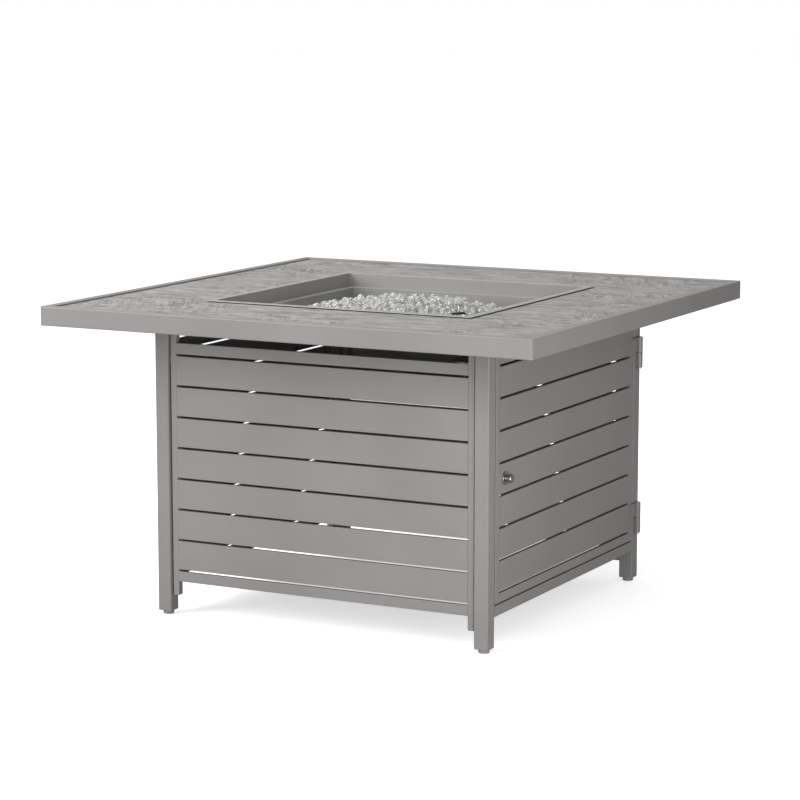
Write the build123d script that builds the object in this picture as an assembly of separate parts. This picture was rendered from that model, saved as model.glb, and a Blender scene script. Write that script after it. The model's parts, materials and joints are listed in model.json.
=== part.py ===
from build123d import *
import os

os.makedirs("parts", exist_ok=True)

# Square gas fire table. Millimetres, +Z up, origin on the floor under the centre.
# -Y is the plain front panel, +X is the door side.

# overall sizes
top_side = 1066.8
table_height = 636.0
base_half = 370.0
sheet_wall = 1.5

# table top
rim_height = 38.0
rim_width = 20.0
rim_corner = 8.0
top_thickness = 2.0
top_recess = 3.0
top_edge_gap = 3.0
cutout_half = 287.5
bearer_width = 25.0
bearer_line = 355.0

# base frame
leg_side = 30.0
leg_corner = 2.5
leg_bottom = 8.2
glide_radius = 11.0
rail_top = 607.0
rail_bottom = 582.0
rail_depth = 25.0
rail_inset = 3.0

# slatted panels
slat_pitch = 62.66
slat_gap = 4.6
slat_count = 7
slat_depth = 8.0
slat_wall = 1.2
panel_recess = 6.0
stile_width = 13.0
stile_depth = 15.0
stile_gap = 3.0
stile_bottom = 42.0
first_slot = 531.7
panel_top = 556.0
panel_low = 70.0
spacer_radius = 5.0

# door
door_gap = 3.0
door_first_slot = 550.6
door_top = 575.0
door_low = 91.8
door_stile_width = 17.0
door_sill_top = 88.6
door_sill_low = 67.5
hinge_radius = 6.2
hinge_standoff = 6.6
hinge_y = 352.0
hinge_half = 33.0
hinge_joints = (494.5, 140.0)
hinge_pin_radius = 3.0
shaft_clearance = 0.06
running_gap = 0.4
latch_y = -297.0
latch_z = 331.3
rosette_radius = 13.0
rosette_thickness = 3.0
spindle_radius = 4.0
cam_length = 38.0
cam_width = 14.0
cam_front = 349.0
cam_thickness = 3.0

# burner bowl
flange_half = 297.0
flange_top = 635.8
flange_sheet = 1.2
flange_corner = 6.0
seal_width = 4.0
seat_depth = 0.4
seat_gap = 1.5
bowl_half = 281.0
ledge_z = 607.0
well_half = 261.0
floor_z = 562.0
pan_sheet = 2.0
bowl_corner = 8.0
burner_radius = 110.0
burner_tube = 9.5
burner_z = 577.0
hub_radius = 20.0
arm_radius = 8.0
port_count = 24
port_radius = 1.2
feed_radius = 8.0
feed_z = 530.0
bead_peak = 628.0
bead_edge = 583.0
bead_corner_level = 575.0

# controls behind the door
bracket_x = 320.0
bracket_sheet = 2.0
valve_y = -190.0
igniter_y = -115.0
control_z = 530.0
stem_radius = 4.0
knob_radius = 18.0
button_radius = 7.0
push_clearance = 6.0

sheet_under = table_height - top_recess - top_thickness
sheet_top = table_height - top_recess
rim_low = table_height - rim_height
door_face = base_half
leg_inner = base_half - leg_side


def block(x_from, x_to, y_from, y_to, z_from, z_to):
    centre = Pos((x_from + x_to) / 2, (y_from + y_to) / 2, (z_from + z_to) / 2)
    return centre * Box(x_to - x_from, y_to - y_from, z_to - z_from)


def square_prism(half, corner, z_from, z_to):
    return Pos(0, 0, z_from) * extrude(RectangleRounded(2 * half, 2 * half, corner), z_to - z_from)


def rod_z(radius, x, y, z_from, z_to):
    return Pos(x, y, (z_from + z_to) / 2) * Cylinder(radius, z_to - z_from)


def rod_x(radius, y, z, x_from, x_to):
    return Pos((x_from + x_to) / 2, y, z) * Rot(0, 90, 0) * Cylinder(radius, x_to - x_from)


def rod_y(radius, x, z, y_from, y_to):
    return Pos(x, (y_from + y_to) / 2, z) * Rot(90, 0, 0) * Cylinder(radius, y_to - y_from)


def bent_rod(points, bend, radius, bore=0.0):
    path = FilletPolyline(*points, radius=bend)
    section = Plane(origin=path @ 0, z_dir=path % 0) * Circle(radius)
    body = sweep(section, path)
    if bore > 0:
        hole = Plane(origin=path @ 0, z_dir=path % 0) * Circle(bore)
        body = body - sweep(hole, path)
    return body


def turned(shape, angle):
    return Rot(0, 0, angle) * shape


def save(name, *solids):
    shape = solids[0]
    if len(solids) > 1:
        shape = Compound(children=list(solids))
    export_step(shape, "parts/" + name + ".step")


# rim: four mitred tubes round the table top
def rim_rail():
    length = top_side
    outer = Plane.YZ * RectangleRounded(rim_width, rim_height, 2.0)
    inner = Plane.YZ * RectangleRounded(rim_width - 2 * sheet_wall, rim_height - 2 * sheet_wall, 1.0)
    centre_y = -top_side / 2 + rim_width / 2
    centre_z = table_height - rim_height / 2
    solid_rail = Pos(-length / 2, centre_y, centre_z) * extrude(outer, length)
    hollow = Pos(-length / 2, centre_y, centre_z) * extrude(inner, length)
    far = top_side / 2 + 1
    wedge = extrude(Polygon((0, 0), (-far, -far), (far, -far), align=None), rim_height + 2)
    wedge = Pos(0, 0, rim_low - 1) * wedge
    rounded = square_prism(top_side / 2, rim_corner, rim_low - 1, table_height + 1)
    inner_rounded = square_prism(top_side / 2 - sheet_wall, rim_corner - sheet_wall, rim_low, table_height)
    return (solid_rail & wedge & rounded) - (hollow & inner_rounded)


rim = rim_rail()
for rim_name, rim_angle in (("front", 0), ("right", 90), ("back", 180), ("left", 270)):
    save("rim_" + rim_name, turned(rim, rim_angle))

# table top sheet with the bowl cut-out and a plain sunk seat around it for the bowl flange
sheet_half = top_side / 2 - rim_width - top_edge_gap
seat_half = flange_half + seat_gap
seat_z = sheet_top - seat_depth
top_sheet = square_prism(sheet_half, 2.0, sheet_under, sheet_top)
top_sheet = fillet(top_sheet.edges().group_by(Axis.Z)[-1], 0.5)
top_sheet = top_sheet - square_prism(cutout_half, 4.0, sheet_under - 1, sheet_top + 1)
top_sheet = top_sheet - square_prism(seat_half, flange_corner + seat_gap, seat_z, sheet_top + 1)
save("top_sheet", top_sheet)

# bearers under the sheet, resting on the legs
bearer_end = top_side / 2 - rim_width


def bearer(centre_y, x_from, x_to):
    low_y = centre_y - bearer_width / 2
    high_y = centre_y + bearer_width / 2
    outer = block(x_from, x_to, low_y, high_y, rail_top, sheet_under)
    hole = block(
        x_from - 1, x_to + 1,
        low_y + sheet_wall, high_y - sheet_wall,
        rail_top + sheet_wall, sheet_under - sheet_wall,
    )
    return outer - hole


cross_end = bearer_line - bearer_width / 2
cross = bearer(-bearer_line, -cross_end, cross_end)
stub = bearer(-bearer_line, bearer_line + bearer_width / 2, bearer_end)
bearers = [bearer(-bearer_line, -bearer_end, bearer_end), bearer(bearer_line, -bearer_end, bearer_end)]
for cross_angle in (90, 270):
    turned_stub = turned(stub, cross_angle)
    bearers += [turned(cross, cross_angle), turned_stub, mirror(turned_stub, about=Plane.XZ)]
save("bearers", *bearers)

# angle frame under the edge of the opening
carrier_half = 330.0
carrier_inner = bowl_half + pan_sheet + 1.5
carrier = square_prism(carrier_half, 4.0, sheet_under - 2.5, sheet_under)
carrier = carrier - square_prism(carrier_inner, bowl_corner, sheet_under - 3.5, sheet_under + 1)
carrier_lip = square_prism(carrier_half, 4.0, sheet_under - 18, sheet_under - 2.5)
carrier_lip = carrier_lip - square_prism(carrier_half - 2.5, 2.0, sheet_under - 19, sheet_under - 2)
save("bowl_carrier", carrier + carrier_lip)

# legs and foot glides
leg_line = base_half - leg_side / 2
leg_corners = [(-1, -1), (1, -1), (1, 1), (-1, 1)]
leg_names = ("front_left", "front_right", "back_right", "back_left")
leg_tube = extrude(RectangleRounded(leg_side, leg_side, leg_corner), rail_top - leg_bottom)
leg_bore = leg_side - 2 * sheet_wall
leg_hollow = extrude(RectangleRounded(leg_bore, leg_bore, 1.0), rail_top - leg_bottom)
leg_tube = Pos(0, 0, leg_bottom) * (leg_tube - leg_hollow)
glide = rod_z(glide_radius, 0, 0, 0, leg_bottom)
glide = fillet(glide.edges().group_by(Axis.Z)[0], 1.5)
plug_half = leg_bore / 2
glide = glide + square_prism(plug_half, 1.0, leg_bottom, leg_bottom + 14)
glides = []
for (sign_x, sign_y), leg_name in zip(leg_corners, leg_names):
    save("leg_" + leg_name, Pos(sign_x * leg_line, sign_y * leg_line, 0) * leg_tube)
    glides.append(Pos(sign_x * leg_line, sign_y * leg_line, 0) * glide)
save("foot_glides", *glides)


# rails that tie the leg tops together
def top_rail():
    outer_face = -base_half + rail_inset
    outer = block(-leg_inner, leg_inner, outer_face, outer_face + rail_depth, rail_bottom, rail_top)
    hollow = block(
        -leg_inner - 1, leg_inner + 1,
        outer_face + sheet_wall, outer_face + rail_depth - sheet_wall,
        rail_bottom + sheet_wall, rail_top - sheet_wall,
    )
    return outer - hollow


screw_spots = (-240.0, -80.0)
screw_x = 352.0
right_rail = turned(top_rail(), 90)
for screw_y in screw_spots:
    right_rail = right_rail - rod_z(2.3, screw_x, screw_y, rail_bottom - 1, rail_bottom + 4)
save("base_rails", turned(top_rail(), 0), right_rail, turned(top_rail(), 180), turned(top_rail(), 270))


# slatted panels: folded channels built facing -Y, then turned to each side
def channel(x_half, face_y, z_from, z_to):
    strip = block(-x_half, x_half, face_y, face_y + slat_depth, z_from, z_to)
    strip = fillet(strip.edges().filter_by(Axis.X).group_by(Axis.Y)[0], 1.0)
    hollow = block(
        -x_half - 1, x_half + 1,
        face_y + slat_wall, face_y + slat_depth + 1,
        z_from + slat_wall, z_to - slat_wall,
    )
    return strip - hollow


def slat_set(x_half, face_y, top_slot):
    slats = []
    for index in range(slat_count):
        upper = top_slot - index * slat_pitch - slat_gap / 2
        lower = top_slot - (index + 1) * slat_pitch + slat_gap / 2
        slats.append(channel(x_half, face_y, lower, upper))
    return slats


def stile(x_from, x_to, face_y, depth, z_from, z_to):
    outer = block(x_from, x_to, face_y, face_y + depth, z_from, z_to)
    outer = fillet(outer.edges().filter_by(Axis.Z), 1.2)
    hollow = block(
        x_from + sheet_wall, x_to - sheet_wall,
        face_y + sheet_wall, face_y + depth - sheet_wall,
        z_from + sheet_wall, z_to - sheet_wall,
    )
    return outer - hollow


panel_face = -base_half + panel_recess
stile_out = leg_inner - stile_gap
stile_in = stile_out - stile_width
last_slot = first_slot - slat_count * slat_pitch

panel_slats = slat_set(stile_in, panel_face, first_slot)
panel_stile_left = stile(-stile_out, -stile_in, panel_face, stile_depth, stile_bottom, rail_bottom)
panel_stile_right = stile(stile_in, stile_out, panel_face, stile_depth, stile_bottom, rail_bottom)
panel_top_rail = channel(stile_in, panel_face, first_slot + slat_gap / 2, panel_top)
panel_bottom_rail = channel(stile_in, panel_face, panel_low, last_slot - slat_gap / 2)
spacers = []
for spacer_z in (120.0, 520.0):
    for side in (-1, 1):
        near = min(side * stile_out, side * leg_inner)
        far = max(side * stile_out, side * leg_inner)
        spacers.append(rod_x(spacer_radius, panel_face + stile_depth / 2, spacer_z, near, far))

panel_stiles = (panel_stile_left, panel_stile_right)
panel_rails = (panel_top_rail, panel_bottom_rail)
for panel_name, panel_angle in (("front", 0), ("back", 180), ("left", 270)):
    save(panel_name + "_slats", *[turned(slat, panel_angle) for slat in panel_slats])
    save(panel_name + "_stiles", *[turned(upright, panel_angle) for upright in panel_stiles])
    save(panel_name + "_rails", *[turned(rail, panel_angle) for rail in panel_rails])
save("panel_spacers", *[turned(spacer, angle) for angle in (0, 180, 270) for spacer in spacers])

# fixed sill under the door
sill_depth = 20.0
sill = block(-leg_inner, leg_inner, -door_face, -door_face + sill_depth, door_sill_low, door_sill_top)
sill = fillet(sill.edges().filter_by(Axis.X), 1.0)
sill_hollow = block(
    -leg_inner - 1, leg_inner + 1,
    -door_face + sheet_wall, -door_face + sill_depth - sheet_wall,
    door_sill_low + sheet_wall, door_sill_top - sheet_wall,
)
save("door_sill", turned(sill - sill_hollow, 90))

# door leaf: built facing -Y with the hinge on the right, then turned to +X
door_half = leg_inner - door_gap
door_in = door_half - door_stile_width
door_last_slot = door_first_slot - slat_count * slat_pitch
door_slats = []
spindle_hole = rod_x(spindle_radius + running_gap, latch_y, latch_z, door_face - slat_depth, door_face + 5)
for slat in slat_set(door_in, -door_face, door_first_slot):
    slat = turned(slat, 90)
    reach = slat.bounding_box()
    if reach.min.Z < latch_z < reach.max.Z:
        slat = slat - spindle_hole
    door_slats.append(slat)
save("door_slats", *door_slats)
latch_stile = stile(-door_half, -door_in, -door_face, stile_depth, door_low, door_top)
hinge_stile = stile(door_in, door_half, -door_face, stile_depth, door_low, door_top)
save("door_stiles", turned(latch_stile, 90), turned(hinge_stile, 90))
door_top_rail = channel(door_in, -door_face, door_first_slot + slat_gap / 2, door_top)
door_bottom_rail = channel(door_in, -door_face, door_low, door_last_slot - slat_gap / 2)
save("door_rails", turned(door_top_rail, 90), turned(door_bottom_rail, 90))

# lift-off barrel hinges on the leg face
hinge_x = door_face + hinge_standoff
lower_barrels = []
upper_barrels = []
pins = []
for joint_z in hinge_joints:
    lower = rod_z(hinge_radius, hinge_x, hinge_y, joint_z - hinge_half, joint_z - running_gap / 2)
    lower = fillet(lower.edges().filter_by(GeomType.CIRCLE), 0.8)
    weld = block(door_face, hinge_x, hinge_y - 4, hinge_y + 4, joint_z - hinge_half + 2, joint_z - 3)
    lower = lower + weld
    lower = lower - rod_z(hinge_pin_radius, hinge_x, hinge_y, joint_z - hinge_half - 1, joint_z + 1)
    lower_barrels.append(lower)
    upper = rod_z(hinge_radius, hinge_x, hinge_y, joint_z + running_gap / 2, joint_z + hinge_half)
    upper = fillet(upper.edges().filter_by(GeomType.CIRCLE), 0.8)
    leaf_low = joint_z + 2
    leaf_high = joint_z + hinge_half - 2
    leaf = block(door_face + 1.0, door_face + 4.0, door_half - 12, hinge_y, leaf_low, leaf_high)
    foot = block(door_face, door_face + 4.0, door_half - 12, door_half, leaf_low, leaf_high)
    upper = upper + leaf + foot
    bore = hinge_pin_radius + shaft_clearance
    upper = upper - rod_z(bore, hinge_x, hinge_y, joint_z - 1, joint_z + hinge_half - 5)
    upper_barrels.append(upper)
    pin = rod_z(hinge_pin_radius, hinge_x, hinge_y, joint_z - hinge_half - 4, joint_z + hinge_half - 6)
    pins.append(fillet(pin.edges().filter_by(GeomType.CIRCLE), 1.0))
save("hinge_lower_barrels", *lower_barrels)
save("hinge_upper_barrels", *upper_barrels)
save("hinge_pins", *pins)

# door latch: rosette and bushing on the door, knob, spindle and cam that turn
rosette = rod_x(rosette_radius, latch_y, latch_z, door_face, door_face + rosette_thickness)
rosette = fillet(rosette.edges().group_by(Axis.X)[-1], 1.2)
rosette = rosette - rod_x(spindle_radius + running_gap, latch_y, latch_z, door_face - 1, door_face + 5)
bushing_back = cam_front + running_gap
bushing = rod_x(9.0, latch_y, latch_z, bushing_back, door_face - slat_wall)
bushing = bushing - rod_x(spindle_radius + shaft_clearance, latch_y, latch_z, bushing_back - 1, door_face)
save("latch_housing", rosette, bushing)

knob_start = door_face + rosette_thickness + running_gap
knob_profile = [
    (0, 0), (6.5, 0), (6.0, 2.0), (7.4, 4.0), (9.0, 7.5),
    (9.0, 10.5), (7.4, 12.6), (4.0, 13.4), (0, 13.6),
]
knob = revolve(Plane.XZ * make_face(Polyline(*knob_profile, close=True)), Axis.Z)
knob = Pos(knob_start, latch_y, latch_z) * Rot(0, 90, 0) * knob
save("latch_knob", knob)
cam_back = cam_front - cam_thickness
spindle = rod_x(spindle_radius, latch_y, latch_z, cam_back - 4, knob_start)
save("latch_spindle", spindle)
cam = block(
    cam_back, cam_front,
    latch_y - cam_width / 2, latch_y + cam_width / 2,
    latch_z - cam_length, latch_z + 8,
)
cam = fillet(cam.edges().filter_by(Axis.X), 3.0)
cam = cam - rod_x(spindle_radius, latch_y, latch_z, cam_back - 1, cam_front + 1)
nut = Pos(cam_back - 4, latch_y, latch_z) * Rot(0, 90, 0) * extrude(RegularPolygon(7.0, 6), 4.0)
nut = nut - rod_x(spindle_radius, latch_y, latch_z, cam_back - 6, cam_back + 1)
save("latch_cam", cam, nut)

# keeper on the leg that the cam turns behind
keeper_low = latch_z - 24
keeper_high = latch_z + 24
keeper_plate = block(cam_front + 1, cam_front + 3, -leg_inner, -leg_inner + 18, keeper_low, keeper_high)
keeper_foot = block(cam_front - 10, cam_front + 1, -leg_inner, -leg_inner + 2, keeper_low, keeper_high)
save("latch_keeper", keeper_plate, keeper_foot)

# burner bowl
pilot_x = 178.0
pilot_y = -84.0
pilot_top = 611.0
sensor_x = 159.0
sensor_y = -68.0
sensor_top = 622.0
spark_x = 171.0
spark_y = -66.0
spark_top = 612.0
plate_x = (148.0, 190.0)
plate_y = (-96.0, -52.0)
flange_under = flange_top - flange_sheet
pan_corner = bowl_corner + pan_sheet
bowl = square_prism(flange_half, flange_corner, flange_under, flange_top)
bowl = bowl + square_prism(bowl_half + pan_sheet, pan_corner, ledge_z - pan_sheet, flange_under + 1)
bowl = bowl + square_prism(well_half + pan_sheet, pan_corner, floor_z - pan_sheet, ledge_z - 1)
bowl = bowl - square_prism(bowl_half, bowl_corner, ledge_z, flange_top + 1)
bowl = bowl - square_prism(well_half, bowl_corner, floor_z, ledge_z + 1)
bowl = fillet(bowl.edges().group_by(Axis.Z)[-1], 0.8)
bowl = bowl - rod_z(feed_radius + 0.3, 0, 0, floor_z - 3, floor_z + 1)
bowl = bowl - rod_z(3.2, pilot_x, pilot_y, floor_z - 3, floor_z + 1)
bowl = bowl - rod_z(3.2, sensor_x, sensor_y, floor_z - 3, floor_z + 1)
bowl = bowl - rod_z(3.2, spark_x, spark_y, floor_z - 3, floor_z + 1)
for drain_x in (-200.0, 200.0):
    for drain_y in (-200.0, 200.0):
        bowl = bowl - rod_z(3.0, drain_x, drain_y, floor_z - 3, floor_z + 1)
save("burner_bowl", bowl)

# heat seal between the bowl flange and the seat in the top sheet, set back from the flange edge
seal_inner = cutout_half + 0.5
seal = square_prism(seal_inner + seal_width, 4.0, seat_z, flange_under)
seal = seal - square_prism(seal_inner, 4.0, seat_z - 1, flange_under + 1)
save("flange_seal", seal)

# ring burner: hub, four arms and a ported ring
ring = Pos(0, 0, burner_z) * Torus(burner_radius, burner_tube)
ring_hollow = Pos(0, 0, burner_z) * Torus(burner_radius, burner_tube - sheet_wall)
ring_shell = ring - ring_hollow
for index in range(port_count):
    port_angle = (index + 0.5) * 360 / port_count
    port = rod_z(port_radius, burner_radius, 0, burner_z + 4, burner_z + burner_tube + 2)
    ring_shell = ring_shell - turned(port, port_angle)
save("burner_ring", ring_shell)
hub = rod_z(hub_radius, 0, 0, floor_z, burner_z + 11)
hub = fillet(hub.edges().group_by(Axis.Z)[-1], 1.5)
hub_cavity = rod_z(hub_radius - 4, 0, 0, burner_z - arm_radius, burner_z + 8)
hub = hub - hub_cavity - rod_z(feed_radius, 0, 0, floor_z - 1, burner_z)
arm_end = burner_radius - burner_tube - 0.4
arm = rod_x(arm_radius, 0, burner_z, hub_radius + 0.5, arm_end)
arm = arm - rod_x(arm_radius - sheet_wall, 0, burner_z, hub_radius, burner_radius)
hub_port = rod_x(arm_radius - sheet_wall, 0, burner_z, hub_radius - 5, hub_radius + 1)
for arm_angle in (0, 90, 180, 270):
    hub = hub - turned(hub_port, arm_angle)
save("burner_hub", hub, *[turned(arm, arm_angle) for arm_angle in (0, 90, 180, 270)])

# gas feed under the bowl: riser elbow, air mixer, jet holder and supply pipe
riser = rod_z(feed_radius, 0, 0, feed_z, burner_z - 2)
elbow = block(-13, 13, -13, 13, feed_z - 13, feed_z + 13)
elbow = fillet(elbow.edges().filter_by(Axis.Y), 4.0)
riser = riser + elbow
riser = riser - rod_z(feed_radius - 2, 0, 0, feed_z, burner_z)
riser = riser - rod_x(feed_radius - 2, 0, feed_z, 0, 14)
save("riser_elbow", riser)
lock_nut = Pos(0, 0, floor_z - pan_sheet - 6) * extrude(RegularPolygon(15.0, 6), 6.0)
lock_nut = lock_nut - rod_z(feed_radius, 0, 0, floor_z - 12, floor_z)
mixer = rod_x(11.0, 0, feed_z, 13, 72) - rod_x(8.5, 0, feed_z, 12, 64)
for slot_angle in (0, 90):
    slot = Rot(slot_angle, 0, 0) * Box(16, 6, 40)
    mixer = mixer - Pos(44, 0, feed_z) * slot
save("air_mixer", mixer - rod_x(2.0, 0, feed_z, 60, 73))
jet = Pos(72, 0, feed_z) * Rot(0, 90, 0) * extrude(RegularPolygon(9.0, 6), 20.0)
jet = jet - rod_x(1.0, 0, feed_z, 71, 82) - rod_x(5.0, 0, feed_z, 82, 93)
save("jet_holder", jet)
pipe_points = [(82, 0, feed_z), (200, 0, feed_z), (200, valve_y, feed_z), (272, valve_y, feed_z)]
supply_pipe = bent_rod(pipe_points, 25.0, 4.9, 3.6)
save("supply_pipe", supply_pipe)

# control bracket hanging from the base rail
plate_inner = bracket_x - bracket_sheet
bracket = block(plate_inner, bracket_x, -260, -60, 488, rail_bottom - bracket_sheet)
bracket = fillet(bracket.edges().filter_by(Axis.X), 6.0)
bracket_flange = block(plate_inner, 364, -260, -60, rail_bottom - bracket_sheet, rail_bottom)
bracket = bracket - rod_x(6.0, valve_y, control_z, 310, 325)
bracket = bracket - rod_x(11.2, igniter_y, control_z, 310, 325)
for screw_y in screw_spots:
    bracket_flange = bracket_flange - rod_z(2.3, screw_x, screw_y, rail_bottom - 4, rail_bottom + 1)
save("control_bracket", bracket, bracket_flange)
screws = []
for screw_y in screw_spots:
    head = rod_z(4.5, screw_x, screw_y, rail_bottom - bracket_sheet - 3, rail_bottom - bracket_sheet)
    head = fillet(head.edges().group_by(Axis.Z)[0], 1.2)
    screws.append(head + rod_z(2.1, screw_x, screw_y, rail_bottom - bracket_sheet, rail_bottom + 8))
save("bracket_screws", *screws)

# gas valve with its inlet, stem, collar and knob
valve = block(276, plate_inner, valve_y - 20, valve_y + 20, control_z - 20, control_z + 18)
valve = fillet(valve.edges().filter_by(Axis.X), 4.0)
valve = valve + rod_x(8.0, valve_y, control_z, 262, 277)
valve = valve - rod_x(4.9, valve_y, control_z, 255, 272)
valve = valve - rod_x(stem_radius + shaft_clearance, valve_y, control_z, 290, plate_inner + 1)
valve = valve - rod_x(1.6, valve_y + 10, control_z - 12, 270, 282)
valve = valve - rod_x(2.1, valve_y - 10, control_z - 12, 270, 282)
valve = valve - rod_z(5.0, 300, valve_y, control_z - 21, control_z - 12)
save("gas_valve", valve)
inlet = rod_z(5.0, 300, valve_y, control_z - 46, control_z - 12)
inlet_hex = Pos(300, valve_y, control_z - 30) * extrude(RegularPolygon(9.5, 6), 10.0)
inlet = inlet + inlet_hex + rod_z(7.0, 300, valve_y, control_z - 46, control_z - 30)
inlet = inlet - rod_z(3.0, 300, valve_y, control_z - 47, control_z - 11)
save("gas_inlet", inlet)
knob_back = bracket_x + push_clearance + 3.0 + running_gap
stem = rod_x(stem_radius, valve_y, control_z, 300, knob_back + 8)
save("valve_stem", stem)
collar = rod_x(9.0, valve_y, control_z, bracket_x + push_clearance, knob_back - running_gap)
collar = collar - rod_x(stem_radius + shaft_clearance, valve_y, control_z, 320, 335)
save("valve_collar", collar)
gas_knob = rod_x(knob_radius, valve_y, control_z, knob_back, knob_back + 7)
gas_knob = fillet(gas_knob.edges().group_by(Axis.X)[-1], 1.5)
grip_bar = block(knob_back + 6, knob_back + 16, valve_y - 4, valve_y + 4, control_z - 16, control_z + 16)
grip_bar = fillet(grip_bar.edges().group_by(Axis.X)[-1], 2.0)
gas_knob = gas_knob + grip_bar
gas_knob = gas_knob - rod_x(stem_radius, valve_y, control_z, knob_back - 1, knob_back + 8)
save("gas_knob", gas_knob)

# push-button spark igniter
igniter = rod_x(11.0, igniter_y, control_z, 262, bracket_x)
igniter = igniter + rod_x(14.0, igniter_y, control_z, bracket_x, bracket_x + 3)
igniter = igniter - rod_x(button_radius + running_gap, igniter_y, control_z, 300, 330)
igniter = igniter - rod_x(1.5, igniter_y, control_z, 250, 270)
save("igniter_body", igniter)
button = rod_x(button_radius, igniter_y, control_z, 308, 330)
button = fillet(button.edges().group_by(Axis.X)[-1], 1.5)
save("igniter_button", button)
igniter_nut = rod_x(15.0, igniter_y, control_z, plate_inner - 5, plate_inner)
igniter_nut = igniter_nut - rod_x(11.0, igniter_y, control_z, 305, 325)
save("lock_nuts", lock_nut, igniter_nut)

# pilot: base plate, hood, flame sensor and spark electrode with their leads
lead_top = floor_z + 4
pilot_plate = block(*plate_x, *plate_y, floor_z, floor_z + 2)
pilot_holes = ((pilot_x, pilot_y, 2.0), (sensor_x, sensor_y, 2.0), (spark_x, spark_y, 3.0))
for hole_x, hole_y, hole_radius in pilot_holes:
    pilot_plate = pilot_plate - rod_z(hole_radius, hole_x, hole_y, floor_z - 1, floor_z + 3)
hood = rod_z(5.0, pilot_x, pilot_y, floor_z + 2, pilot_top)
hood = fillet(hood.edges().group_by(Axis.Z)[-1], 3.0)
hood = hood - rod_z(2.0, pilot_x, pilot_y, floor_z, lead_top)
hood = hood - rod_z(1.5, pilot_x, pilot_y, lead_top, pilot_top - 8)
save("pilot_burner", pilot_plate, hood)
sensor_tip = (118, -44, sensor_top + 0.5)
sensor_points = [(sensor_x, sensor_y, lead_top), (sensor_x, sensor_y, sensor_top), sensor_tip]
sensor = bent_rod(sensor_points, 6.0, 1.7)
save("flame_sensor", sensor)
spark_tip = (158, -98, spark_top + 0.5)
spark_points = [(spark_x, spark_y, lead_top), (spark_x, spark_y, spark_top), spark_tip]
spark = bent_rod(spark_points, 6.0, 2.6)
save("spark_electrode", spark)

spark_lead_points = [
    (262 + 6, igniter_y, control_z), (235, igniter_y, control_z), (235, igniter_y, 505),
    (spark_x, igniter_y, 505), (spark_x, spark_y, 505), (spark_x, spark_y, lead_top),
]
spark_lead = bent_rod(spark_lead_points, 8.0, 1.5)
save("spark_lead", spark_lead)
sensor_lead_points = [
    (280, valve_y + 10, control_z - 12), (245, valve_y + 10, control_z - 12), (245, valve_y + 10, 490),
    (245, -40, 490), (sensor_x, -40, 490), (sensor_x, sensor_y, 490), (sensor_x, sensor_y, lead_top),
]
sensor_lead = bent_rod(sensor_lead_points, 8.0, 1.4)
save("sensor_lead", sensor_lead)
pilot_tube_points = [
    (280, valve_y - 10, control_z - 12), (225, valve_y - 10, control_z - 12), (225, valve_y - 10, 478),
    (225, pilot_y, 478), (pilot_x, pilot_y, 478), (pilot_x, pilot_y, lead_top),
]
pilot_tube = bent_rod(pilot_tube_points, 10.0, 1.9, 1.2)
save("pilot_tube", pilot_tube)

# bead bed heaped over the burner
cap_rise = bead_peak - bead_edge
cap_radius = (well_half ** 2 + cap_rise ** 2) / (2 * cap_rise)
bed_half = well_half - 0.4
bed = square_prism(bed_half, bowl_corner, floor_z, bead_peak + 1)
cap_reach = (cap_radius ** 2 - (cap_radius - bead_peak + floor_z) ** 2) ** 0.5
cap_mid_x = cap_radius * 0.25
cap_mid_z = bead_peak - cap_radius + (cap_radius ** 2 - cap_mid_x ** 2) ** 0.5
cap_arc = ThreePointArc((0, bead_peak), (cap_mid_x, cap_mid_z), (cap_reach, floor_z))
cap_base = Polyline((cap_reach, floor_z), (0, floor_z), (0, bead_peak))
cap = revolve(Plane.XZ * make_face([cap_arc, cap_base]), Axis.Z)
bed = bed & cap
bed = bed + square_prism(bed_half, bowl_corner, floor_z, bead_corner_level)
bed_hub = rod_z(hub_radius + 0.5, 0, 0, floor_z - 1, burner_z + 11.5)
bed_arms = rod_x(arm_radius + 0.5, 0, burner_z, -burner_radius, burner_radius)
bed_arms = bed_arms + rod_y(arm_radius + 0.5, 0, burner_z, -burner_radius, burner_radius)
ring_space = rod_z(burner_radius + burner_tube + 0.5, 0, 0, floor_z - 1, burner_z + burner_tube + 0.5)
ring_space = ring_space - rod_z(burner_radius - burner_tube - 0.5, 0, 0, floor_z - 2, burner_z + 20)
bed = bed - ring_space - bed_hub - bed_arms
plate_room = block(
    plate_x[0] - running_gap, plate_x[1] + running_gap,
    plate_y[0] - running_gap, plate_y[1] + running_gap,
    floor_z - 1, floor_z + 2.4,
)
bed = bed - plate_room
rod_spaces = (
    (pilot_x, pilot_y, 5.4),
    (sensor_x, sensor_y, 2.4),
    (spark_x, spark_y, 3.0),
)
for space_x, space_y, space_radius in rod_spaces:
    bed = bed - rod_z(space_radius, space_x, space_y, floor_z, bead_peak)
save("glass_beads", bed)
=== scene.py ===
import bpy
import json
import math
import random
import numpy as np
from mathutils import Matrix, Vector
from mathutils.bvhtree import BVHTree


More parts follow.
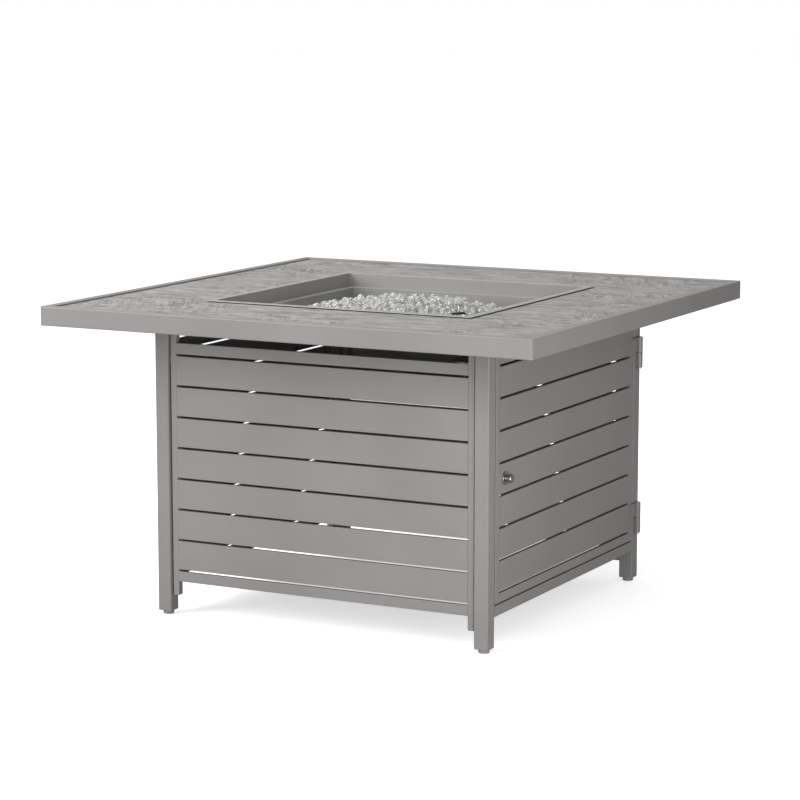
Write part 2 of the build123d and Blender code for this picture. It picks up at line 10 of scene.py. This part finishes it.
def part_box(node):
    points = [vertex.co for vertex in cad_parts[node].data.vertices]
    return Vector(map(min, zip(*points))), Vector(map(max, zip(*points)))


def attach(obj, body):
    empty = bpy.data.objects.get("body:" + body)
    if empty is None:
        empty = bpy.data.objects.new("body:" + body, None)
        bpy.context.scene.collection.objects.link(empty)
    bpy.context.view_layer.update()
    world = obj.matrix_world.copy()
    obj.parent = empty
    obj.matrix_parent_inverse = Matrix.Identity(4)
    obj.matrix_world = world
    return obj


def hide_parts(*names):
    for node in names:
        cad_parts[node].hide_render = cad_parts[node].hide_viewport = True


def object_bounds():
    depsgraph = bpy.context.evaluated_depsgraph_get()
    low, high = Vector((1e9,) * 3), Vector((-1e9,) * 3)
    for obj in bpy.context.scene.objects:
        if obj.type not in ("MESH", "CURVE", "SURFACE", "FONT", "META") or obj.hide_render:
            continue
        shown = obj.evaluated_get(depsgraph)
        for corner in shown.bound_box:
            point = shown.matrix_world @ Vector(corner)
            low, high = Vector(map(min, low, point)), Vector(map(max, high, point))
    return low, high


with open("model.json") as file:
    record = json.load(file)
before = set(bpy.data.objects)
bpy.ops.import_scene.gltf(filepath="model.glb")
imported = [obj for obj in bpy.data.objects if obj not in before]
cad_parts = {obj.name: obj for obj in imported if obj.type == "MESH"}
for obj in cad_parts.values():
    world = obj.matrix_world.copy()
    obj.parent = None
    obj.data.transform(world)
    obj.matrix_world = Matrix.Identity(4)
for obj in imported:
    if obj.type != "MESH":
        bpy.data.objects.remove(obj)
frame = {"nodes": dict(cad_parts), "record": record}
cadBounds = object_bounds()
nodes = frame["nodes"]
print("frame loaded:", len(nodes), "nodes")


# small helpers for node materials
def newMaterial(name):
    mat = bpy.data.materials.new(name)
    mat.use_nodes = True
    tree = mat.node_tree
    shader = tree.nodes["Principled BSDF"]
    return mat, tree, shader


def addNode(tree, kind, **values):
    node = tree.nodes.new(kind)
    for key, value in values.items():
        if key in node.inputs:
            node.inputs[key].default_value = value
        else:
            setattr(node, key, value)
    return node


def objectCoords(tree, scale, turn=0.0):
    coords = addNode(tree, "ShaderNodeTexCoord")
    mapping = addNode(tree, "ShaderNodeMapping", Scale=scale)
    mapping.inputs["Rotation"].default_value = (0.0, 0.0, turn)
    tree.links.new(coords.outputs["Object"], mapping.inputs["Vector"])
    return mapping.outputs["Vector"]


def noise(tree, vector, scale, detail=3.0, roughness=0.5, distortion=0.0):
    tex = addNode(
        tree, "ShaderNodeTexNoise",
        Scale=scale, Detail=detail, Roughness=roughness, Distortion=distortion,
    )
    tree.links.new(vector, tex.inputs["Vector"])
    return tex.outputs["Fac"]


def ramp(tree, value, stops):
    node = addNode(tree, "ShaderNodeValToRGB")
    elements = node.color_ramp.elements
    while len(elements) < len(stops):
        elements.new(0.5)
    for element, (place, colour) in zip(elements, stops):
        element.position = place
        element.color = (*colour, 1.0)
    tree.links.new(value, node.inputs["Fac"])
    return node.outputs["Color"]


def rangeMap(tree, value, low, high, fromLow=0.3, fromHigh=0.7):
    node = addNode(tree, "ShaderNodeMapRange")
    node.inputs["From Min"].default_value = fromLow
    node.inputs["From Max"].default_value = fromHigh
    node.inputs["To Min"].default_value = low
    node.inputs["To Max"].default_value = high
    tree.links.new(value, node.inputs["Value"])
    return node.outputs["Result"]


def blendValues(tree, kind, first, second):
    node = addNode(tree, "ShaderNodeMath", operation=kind)
    for socket, value in zip(node.inputs, (first, second)):
        if isinstance(value, (int, float)):
            socket.default_value = value
        else:
            tree.links.new(value, socket)
    return node.outputs[0]


def bump(tree, height, shader, strength, distance, under=None):
    node = addNode(tree, "ShaderNodeBump", Strength=strength, Distance=distance)
    tree.links.new(height, node.inputs["Height"])
    if under is not None:
        tree.links.new(under, node.inputs["Normal"])
    tree.links.new(node.outputs["Normal"], shader.inputs["Normal"])
    return node.outputs["Normal"]


def scaled(colour, factor):
    return [c * factor for c in colour]


evenScale = (1.0, 1.0, 1.0)


# powder coat: fine orange peel, a slow change of tone and gloss
def powderCoat(name, look):
    mat, tree, shader = newMaterial(name)
    coords = objectCoords(tree, evenScale)
    slow = noise(tree, coords, look["toneScale"], 2.0)
    low = scaled(look["colour"], 1.0 - look["toneRange"])
    high = scaled(look["colour"], 1.0 + look["toneRange"])
    tree.links.new(ramp(tree, slow, [(0.3, low), (0.7, high)]), shader.inputs["Base Color"])
    gloss = rangeMap(tree, slow, look["roughness"] - look["glossier"], look["roughness"] + look["duller"])
    tree.links.new(gloss, shader.inputs["Roughness"])
    shader.inputs["Specular IOR Level"].default_value = look["specular"]
    peel = noise(tree, coords, look["peelScale"], 2.0, 0.6)
    grit = noise(tree, coords, look["peelScale"] * look["gritFineness"], 1.0, 0.5)
    height = blendValues(tree, "ADD", peel, blendValues(tree, "MULTIPLY", grit, look["gritShare"]))
    bump(tree, height, shader, look["peelStrength"], look["peelDepth"])
    return mat


framePaint = dict(
    colour=(0.216, 0.207, 0.203), toneScale=5.0, toneRange=0.05,
    roughness=0.46, glossier=0.04, duller=0.05, specular=0.42,
    peelScale=650.0, peelStrength=0.35, peelDepth=0.00025,
    gritFineness=4.5, gritShare=0.45,
)
hingePaint = dict(framePaint, colour=(0.21, 0.203, 0.198), roughness=0.34, specular=0.5)
# the bowl's coat is the frame's coat made lighter: painted flame light on the bowl walls
flameLitBowlPaint = dict(framePaint, colour=(0.290, 0.280, 0.268), roughness=0.36, peelScale=900.0)


# table top: powder coat over a sheet embossed with a brushed, split grain
def embossedTop(name, look):
    mat, tree, shader = newMaterial(name)
    along = objectCoords(tree, look["grainStretch"])
    streaks = noise(tree, along, look["grainScale"], 6.0, 0.62, 0.7)
    fine = noise(tree, along, look["grainScale"] * look["fineness"], 4.0, 0.6, 0.3)
    turned = objectCoords(tree, evenScale, look["splitTurn"])
    across = addNode(tree, "ShaderNodeMapping", Scale=look["grainStretch"])
    tree.links.new(turned, across.inputs["Vector"])
    splits = noise(tree, across.outputs["Vector"], look["splitScale"], 5.0, 0.62, 0.8)
    plain = objectCoords(tree, evenScale)
    patches = noise(tree, plain, look["patchScale"], 3.0, 0.55)
    mask = rangeMap(tree, patches, 0.0, 1.0, *look["patchEdge"])
    split = blendValues(tree, "MULTIPLY", blendValues(tree, "SUBTRACT", splits, 0.5), mask)
    grain = blendValues(tree, "ADD", streaks, blendValues(tree, "MULTIPLY", fine, look["fineDepth"]))
    height = blendValues(tree, "ADD", grain, blendValues(tree, "MULTIPLY", split, look["splitDepth"]))
    # tone follows the emboss height, darker in the low parts and lighter on the raised grain: partly the
    # grain's own tone, partly painted shade in the hollows and painted highlight on the ridges
    dark = scaled(look["colour"], 1.0 - look["toneRange"])
    light = scaled(look["colour"], 1.0 + look["toneRange"])
    tone = ramp(tree, height, list(zip(look["grainShadeHeights"], (dark, look["colour"], light))))
    tree.links.new(tone, shader.inputs["Base Color"])
    tree.links.new(rangeMap(tree, streaks, *look["roughness"]), shader.inputs["Roughness"])
    shader.inputs["Specular IOR Level"].default_value = look["specular"]
    coarse = bump(tree, height, shader, look["strength"], look["depth"])
    grit = noise(tree, plain, look["gritScale"], 1.0)
    bump(tree, grit, shader, look["gritStrength"], look["gritDepth"], under=coarse)
    return mat


topLook = dict(
    colour=(0.258, 0.246, 0.238), toneRange=0.40, grainShadeHeights=(0.64, 0.79, 0.94),
    roughness=(0.40, 0.56), specular=0.5, strength=1.0, depth=0.0055,
    grainStretch=(1.0, 6.0, 1.0), grainScale=11.0, fineness=3.4, fineDepth=0.6,
    splitTurn=math.radians(62), splitScale=15.0, splitDepth=1.1, patchScale=5.5, patchEdge=(0.47, 0.60),
    gritScale=1500.0, gritStrength=0.25, gritDepth=0.00012,
)


# bare metals: brushed or turned, with a little tarnish, dull in the marks and bright between them
metalMarks = dict(duller=0.08, brighter=0.04, strength=0.15, depth=0.00008)


def bareMetal(name, look):
    mat, tree, shader = newMaterial(name)
    coords = objectCoords(tree, look.get("stretch", evenScale))
    marks = noise(tree, coords, look["markScale"], 4.0, 0.6)
    low = scaled(look["colour"], 1.0 - look["tarnish"])
    tone = ramp(tree, marks, [(0.35, low), (0.65, look["colour"])])
    tree.links.new(tone, shader.inputs["Base Color"])
    shader.inputs["Metallic"].default_value = 1.0
    dull = look["roughness"] + metalMarks["duller"]
    bright = look["roughness"] - metalMarks["brighter"]
    tree.links.new(rangeMap(tree, marks, dull, bright), shader.inputs["Roughness"])
    bump(tree, marks, shader, metalMarks["strength"], metalMarks["depth"])
    return mat


stainless = dict(
    colour=(0.60, 0.58, 0.55), roughness=0.30, markScale=260.0, tarnish=0.25,
    stretch=(1.0, 6.0, 1.0),
)
brass = dict(colour=(0.80, 0.60, 0.30), roughness=0.28, markScale=180.0, tarnish=0.22)
nickel = dict(colour=(0.36, 0.335, 0.315), roughness=0.27, markScale=420.0, tarnish=0.20)
zinc = dict(colour=(0.56, 0.56, 0.57), roughness=0.40, markScale=210.0, tarnish=0.10)
copper = dict(colour=(0.72, 0.42, 0.28), roughness=0.34, markScale=150.0, tarnish=0.30)


# moulded plastic and rubber: fine spark-eroded skin
mouldSkin = dict(toneScale=30.0, lighter=1.25, lift=0.004, depth=0.0001)


def mouldedSkin(name, look):
    mat, tree, shader = newMaterial(name)
    coords = objectCoords(tree, evenScale)
    tone = noise(tree, coords, mouldSkin["toneScale"], 2.0)
    high = [c * mouldSkin["lighter"] + mouldSkin["lift"] for c in look["colour"]]
    tree.links.new(ramp(tree, tone, [(0.3, look["colour"]), (0.7, high)]), shader.inputs["Base Color"])
    shader.inputs["Roughness"].default_value = look["roughness"]
    skin = noise(tree, coords, look["skinScale"], 2.0, 0.6)
    bump(tree, skin, shader, look["skinStrength"], mouldSkin["depth"])
    return mat


blackPlastic = dict(colour=(0.018, 0.018, 0.019), roughness=0.46, skinScale=1800.0, skinStrength=0.30)
greyPlastic = dict(colour=(0.20, 0.195, 0.19), roughness=0.55, skinScale=1200.0, skinStrength=0.25)
ceramic = dict(colour=(0.035, 0.03, 0.028), roughness=0.62, skinScale=900.0, skinStrength=0.35)
silicone = dict(colour=(0.36, 0.045, 0.03), roughness=0.42, skinScale=700.0, skinStrength=0.10)
# near-black finish, also used for the strip that paints the shade in the gap between the top sheet and the
# rim
gasketAndShadowStripLook = dict(colour=(0.012, 0.012, 0.012), roughness=0.80, skinScale=600.0, skinStrength=0.45)


# clear fire glass
def beadGlass(name, look):
    mat, tree, shader = newMaterial(name)
    coords = objectCoords(tree, evenScale)
    tint = noise(tree, coords, look["tintScale"], 2.0)
    tone = ramp(tree, tint, [(0.35, look["colour"]), (0.65, look["paleColour"])])
    tree.links.new(tone, shader.inputs["Base Color"])
    shader.inputs["Transmission Weight"].default_value = look["clear"]
    shader.inputs["IOR"].default_value = look["refraction"]
    shader.inputs["Roughness"].default_value = look["roughness"]
    ripple = noise(tree, coords, look["rippleScale"], 2.0)
    bump(tree, ripple, shader, look["rippleStrength"], look["rippleDepth"])
    return mat


beadLook = dict(
    colour=(0.93, 0.94, 0.93), paleColour=(1.0, 1.0, 0.99), clear=0.82, roughness=0.03,
    tintScale=60.0, refraction=1.48, rippleScale=420.0, rippleStrength=0.25, rippleDepth=0.0004,
)
# grey core: stands for the packed lower beads, its grey is painted shade seen in the gaps between beads
shadeGreyCoreLook = dict(
    beadLook, colour=(0.42, 0.42, 0.41), paleColour=(0.78, 0.77, 0.75), clear=0.10,
    roughness=0.25, tintScale=120.0,
)

finishes = {
    "frame_paint": powderCoat("warm grey powder coat", framePaint),
    "hinge_paint": powderCoat("hinge powder coat", hingePaint),
    "bowl_paint": powderCoat("bowl powder coat with painted flame light", flameLitBowlPaint),
    "top_paint": embossedTop("embossed table top", topLook),
    "stainless": bareMetal("heat dulled stainless", stainless),
    "brass": bareMetal("machined brass", brass),
    "nickel": bareMetal("satin nickel", nickel),
    "zinc_steel": bareMetal("zinc plated steel", zinc),
    "copper_lead": bareMetal("drawn copper", copper),
    "black_plastic": mouldedSkin("black control plastic", blackPlastic),
    "grey_plastic": mouldedSkin("grey glide plastic", greyPlastic),
    "dark_ceramic": mouldedSkin("sooty ceramic", ceramic),
    "red_silicone": mouldedSkin("red silicone lead", silicone),
    "dark_seal": mouldedSkin("woven heat gasket and painted shadow strip", gasketAndShadowStripLook),
    "clear_glass": beadGlass("clear fire glass", beadLook),
}
shadeGreyCoreGlass = beadGlass("packed fire glass greyed as painted shade", shadeGreyCoreLook)
for part in frame["record"]["subparts"]:
    for slot in nodes[part["node"]].material_slots:
        slot.material = finishes[part["material_slot"]]


# fire glass: loose beads laid in layers over the heap, with a packed core below, greyed as painted shade
# between the beads
beadBed = dict(
    seed=11, spacing=0.0158, smallest=0.0072, largest=0.0098,
    layers=2, layerDrop=0.0115, loose=230, looseLayer=-0.55,
    jitter=0.0034, settle=0.0035, edgeDrop=0.045, wellHalf=0.261, cornerLevel=0.575,
    wallGap=0.0012, wallOver=0.004, floorGap=0.0003, metalGap=0.0012,
    middleSquash=(0.86, 1.0), flatSquash=(0.78, 0.96), fullTurn=6.28,
)
bedLow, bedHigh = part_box("glass_beads")
capRadius = (beadBed["wellHalf"] ** 2 + beadBed["edgeDrop"] ** 2) / (2 * beadBed["edgeDrop"])


def heapHeight(x, y):
    reach = min(x * x + y * y, capRadius * capRadius)
    cap = bedHigh.z - capRadius + math.sqrt(capRadius * capRadius - reach)
    return max(cap, beadBed["cornerLevel"])


def nearMetal():
    verts, faces = [], []
    for name in ("flame_sensor", "spark_electrode", "pilot_burner"):
        mesh = nodes[name].data
        start = len(verts)
        verts += [v.co.copy() for v in mesh.vertices]
        faces += [[start + i for i in poly.vertices] for poly in mesh.polygons]
    return BVHTree.FromPolygons(verts, faces)


def beadPlaces():
    rng = random.Random(beadBed["seed"])
    metal = nearMetal()
    half = bedHigh.x - beadBed["wallGap"]
    step = beadBed["spacing"]
    rowStep = step * 0.866  # rows of a close-packed layer
    places = []
    for layer in range(beadBed["layers"]):
        rows = int(2 * half / rowStep) + 1
        for row in range(rows):
            y = -half + row * rowStep
            shift = 0.5 * step * ((row + layer) % 2)
            for column in range(int(2 * half / step) + 2):
                x = -half + column * step + shift
                places.append((x, y, layer))
    for _ in range(beadBed["loose"]):
        places.append((rng.uniform(-half, half), rng.uniform(-half, half), beadBed["looseLayer"]))
    kept = []
    for x, y, layer in places:
        radius = rng.uniform(beadBed["smallest"], beadBed["largest"])
        x += rng.uniform(-1, 1) * beadBed["jitter"]
        y += rng.uniform(-1, 1) * beadBed["jitter"]
        limit = half - radius
        if max(abs(x), abs(y)) > limit + beadBed["wallOver"]:
            continue
        x = max(-limit, min(limit, x))
        y = max(-limit, min(limit, y))
        z = heapHeight(x, y) - radius - layer * beadBed["layerDrop"] - rng.uniform(0, beadBed["settle"])
        lowest = bedLow.z + radius + beadBed["floorGap"]
        if z < lowest and layer > 0:
            continue
        z = max(z, lowest)  # the corner beads lie on the bowl floor
        place = Vector((x, y, z))
        gap = metal.find_nearest(place)[3]
        if gap is not None and gap < radius + beadBed["metalGap"]:
            continue
        kept.append((place, radius))
    return kept, rng


def beadTemplate():
    bpy.ops.mesh.primitive_ico_sphere_add(subdivisions=2, radius=1.0)
    ball = bpy.context.object
    co = np.array([v.co for v in ball.data.vertices])
    tris = np.array([p.vertices[:] for p in ball.data.polygons])
    mesh = ball.data
    bpy.data.objects.remove(ball)
    bpy.data.meshes.remove(mesh)
    return co, tris


def joinedMesh(name, co, faces):
    mesh = bpy.data.meshes.new(name)
    mesh.from_pydata(co.tolist(), [], faces.tolist())
    mesh.polygons.foreach_set("use_smooth", [True] * len(mesh.polygons))
    mesh.update()
    obj = bpy.data.objects.new(name, mesh)
    bpy.context.scene.collection.objects.link(obj)
    return obj


def makeBeads():
    places, rng = beadPlaces()
    ball, tris = beadTemplate()
    allCo, allTris = [], []
    for index, (place, radius) in enumerate(places):
        angle = rng.uniform(0, beadBed["fullTurn"])
        turn = Matrix.Rotation(angle, 3, Vector((rng.uniform(-1, 1), rng.uniform(-1, 1), 1.0)))
        squash = np.array([1.0, rng.uniform(*beadBed["middleSquash"]), rng.uniform(*beadBed["flatSquash"])])
        allCo.append((ball * squash) @ np.array(turn) * radius + np.array(place))
        allTris.append(tris + index * len(ball))
    beads = joinedMesh("fire_glass_beads", np.concatenate(allCo), np.concatenate(allTris))
    beads.data.materials.append(finishes["clear_glass"])
    print("fire glass:", len(places), "beads")
    return beads


packedCore = dict(count=60, wallGap=0.001, drop=0.017, uneven=0.0025, floorGap=0.0004)


def makeCore():
    rng = random.Random(beadBed["seed"] + 1)
    count = packedCore["count"]
    uneven = packedCore["uneven"]
    half = bedHigh.x - packedCore["wallGap"]
    line = np.linspace(-half, half, count)
    top, base = [], []
    for y in line:
        for x in line:
            z = heapHeight(x, y) - packedCore["drop"] + rng.uniform(-uneven, uneven)
            top.append((x, y, z))
            base.append((x, y, bedLow.z + packedCore["floorGap"]))
    co = np.array(top + base)
    offset = count * count
    faces = []
    for j in range(count - 1):
        for i in range(count - 1):
            a = j * count + i
            faces.append((a, a + 1, a + count + 1, a + count))
            faces.append((offset + a, offset + a + count, offset + a + count + 1, offset + a + 1))
    edge = list(range(count)) + [count * k + count - 1 for k in range(1, count)]
    edge += [count * (count - 1) + k for k in range(count - 2, -1, -1)]
    edge += [count * k for k in range(count - 2, 0, -1)]
    for here, there in zip(edge, edge[1:] + edge[:1]):
        faces.append((here, offset + here, offset + there, there))
    core = joinedMesh("fire_glass_core", co, np.array(faces))
    core.data.materials.append(shadeGreyCoreGlass)
    return core


beads = makeBeads()
core = makeCore()
for piece in (beads, core):
    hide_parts("glass_beads")
    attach(piece, "table")
print("bead bed done")


squareCorners = ((-1, -1), (1, -1), (1, 1), (-1, 1))


# painted shadow: a near-black strip laid in the shadow line between the top sheet and the rim
shadowLineStrip = dict(
    rimWidth=0.020, sheetGap=0.0001, rimGap=0.0001, bearerGap=0.0001,
    sunk=0.0006, crown=0.0003, lines=5,
)


def makeShadowLineStrip():
    sheetLow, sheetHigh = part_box("top_sheet")
    inner = sheetHigh.x + shadowLineStrip["sheetGap"]
    outer = cadBounds[1][0] - shadowLineStrip["rimWidth"] - shadowLineStrip["rimGap"]
    base = sheetLow.z + shadowLineStrip["bearerGap"]
    top = sheetHigh.z - shadowLineStrip["sunk"]
    loops = []
    for step in range(shadowLineStrip["lines"]):
        part = step / (shadowLineStrip["lines"] - 1)
        loops.append((inner + part * (outer - inner), top - shadowLineStrip["crown"] * (2 * part - 1) ** 2))
    loops += [(outer, base), (inner, base)]
    co = [(half * sx, half * sy, z) for half, z in loops for sx, sy in squareCorners]
    faces = []
    for loop in range(len(loops)):
        after = (loop + 1) % len(loops)
        for corner in range(4):
            beside = (corner + 1) % 4
            faces.append((4 * loop + corner, 4 * after + corner, 4 * after + beside, 4 * loop + beside))
    stripObject = joinedMesh("painted_shadow_line_strip", np.array(co), np.array(faces))
    stripObject.data.polygons.foreach_set("use_smooth", [False] * len(stripObject.data.polygons))
    # the near-black finish on this strip is painted shade for the gap between the sheet and the rim
    stripObject.data.materials.append(finishes["dark_seal"])
    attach(stripObject, "table")


makeShadowLineStrip()
# the strip made above is a painted shadow line
print("painted shadow line strip done")


# floor, light and camera
studio = dict(
    floorSize=60.0, floorColour=(0.90, 0.90, 0.90), floorRoughness=0.85, floorSpecular=0.1,
    floorGlow=0.60, floorBounce=(0.42, 0.42, 0.42), worldSeen=1.0, worldLight=0.52,
)
lamps = dict(
    key=dict(place=(-2.3, -3.4, 2.1), aim=(0, 0, 0.35), size=2.2, power=122.0),
    top=dict(place=(-1.1, -0.6, 3.6), aim=(0, 0, 0.6), size=2.8, power=92.0),
    low=dict(place=(1.3, -3.1, 0.30), aim=(0.3, -0.3, 0.2), size=1.6, power=38.0),
    side=dict(place=(1.45, -0.85, 0.05), aim=(0.38, -0.1, 0.25), size=1.0, power=17.0),
)


# the floor is white to the camera and throws less light up into the base
def makeFloor():
    size = studio["floorSize"] / 2
    mesh = bpy.data.meshes.new("studio_floor")
    mesh.from_pydata([(size * sx, size * sy, 0) for sx, sy in squareCorners], [], [(0, 1, 2, 3)])
    floor = bpy.data.objects.new("studio_floor", mesh)
    bpy.context.scene.collection.objects.link(floor)
    mat, tree, shader = newMaterial("pale floor")
    shader.inputs["Base Color"].default_value = (*studio["floorColour"], 1.0)
    shader.inputs["Roughness"].default_value = studio["floorRoughness"]
    shader.inputs["Specular IOR Level"].default_value = studio["floorSpecular"]
    shader.inputs["Emission Color"].default_value = (1.0, 1.0, 1.0, 1.0)
    shader.inputs["Emission Strength"].default_value = studio["floorGlow"]
    bounce = addNode(tree, "ShaderNodeBsdfDiffuse", Color=(*studio["floorBounce"], 1.0))
    path = addNode(tree, "ShaderNodeLightPath")
    mix = addNode(tree, "ShaderNodeMixShader")
    tree.links.new(path.outputs["Is Camera Ray"], mix.inputs["Fac"])
    tree.links.new(bounce.outputs[0], mix.inputs[1])
    tree.links.new(shader.outputs[0], mix.inputs[2])
    tree.links.new(mix.outputs[0], tree.nodes["Material Output"].inputs["Surface"])
    mesh.materials.append(mat)


def makeWorld():
    world = bpy.data.worlds.new("studio")
    world.use_nodes = True
    tree = world.node_tree
    background = tree.nodes["Background"]
    background.inputs["Color"].default_value = (1.0, 1.0, 1.0, 1.0)
    path = tree.nodes.new("ShaderNodeLightPath")
    strength = tree.nodes.new("ShaderNodeMapRange")
    strength.inputs["To Min"].default_value = studio["worldLight"]
    strength.inputs["To Max"].default_value = studio["worldSeen"]
    tree.links.new(path.outputs["Is Camera Ray"], strength.inputs["Value"])
    tree.links.new(strength.outputs["Result"], background.inputs["Strength"])
    bpy.context.scene.world = world


def areaLight(name, place, aim, size, power):
    data = bpy.data.lights.new(name, "AREA")
    data.size = size
    data.energy = power
    lamp = bpy.data.objects.new(name, data)
    lamp.location = place
    lamp.rotation_euler = (Vector(aim) - Vector(place)).to_track_quat("-Z", "Y").to_euler()
    lamp.visible_camera = False
    bpy.context.scene.collection.objects.link(lamp)


makeFloor()
makeWorld()
for name, lamp in lamps.items():
    areaLight(name, **lamp)

cameraView = dict(
    azimuth=27.475, elevation=8.92, distance=5.577, target=(-0.007, -0.0064, 0.4142),
    lens=121.715, sensor=36.0, farthest=100.0,
)


def makeCamera():
    azimuth = math.radians(cameraView["azimuth"])
    elevation = math.radians(cameraView["elevation"])
    back = Vector((
        math.sin(azimuth) * math.cos(elevation),
        -math.cos(azimuth) * math.cos(elevation),
        math.sin(elevation),
    ))
    data = bpy.data.cameras.new("camera")
    data.lens = cameraView["lens"]
    data.sensor_width = cameraView["sensor"]
    data.clip_end = cameraView["farthest"]
    camera = bpy.data.objects.new("camera", data)
    camera.location = Vector(cameraView["target"]) + back * cameraView["distance"]
    camera.rotation_euler = back.to_track_quat("Z", "Y").to_euler()
    bpy.context.scene.collection.objects.link(camera)
    bpy.context.scene.camera = camera


makeCamera()
bpy.context.scene.view_settings.view_transform = "Standard"
print("studio done")
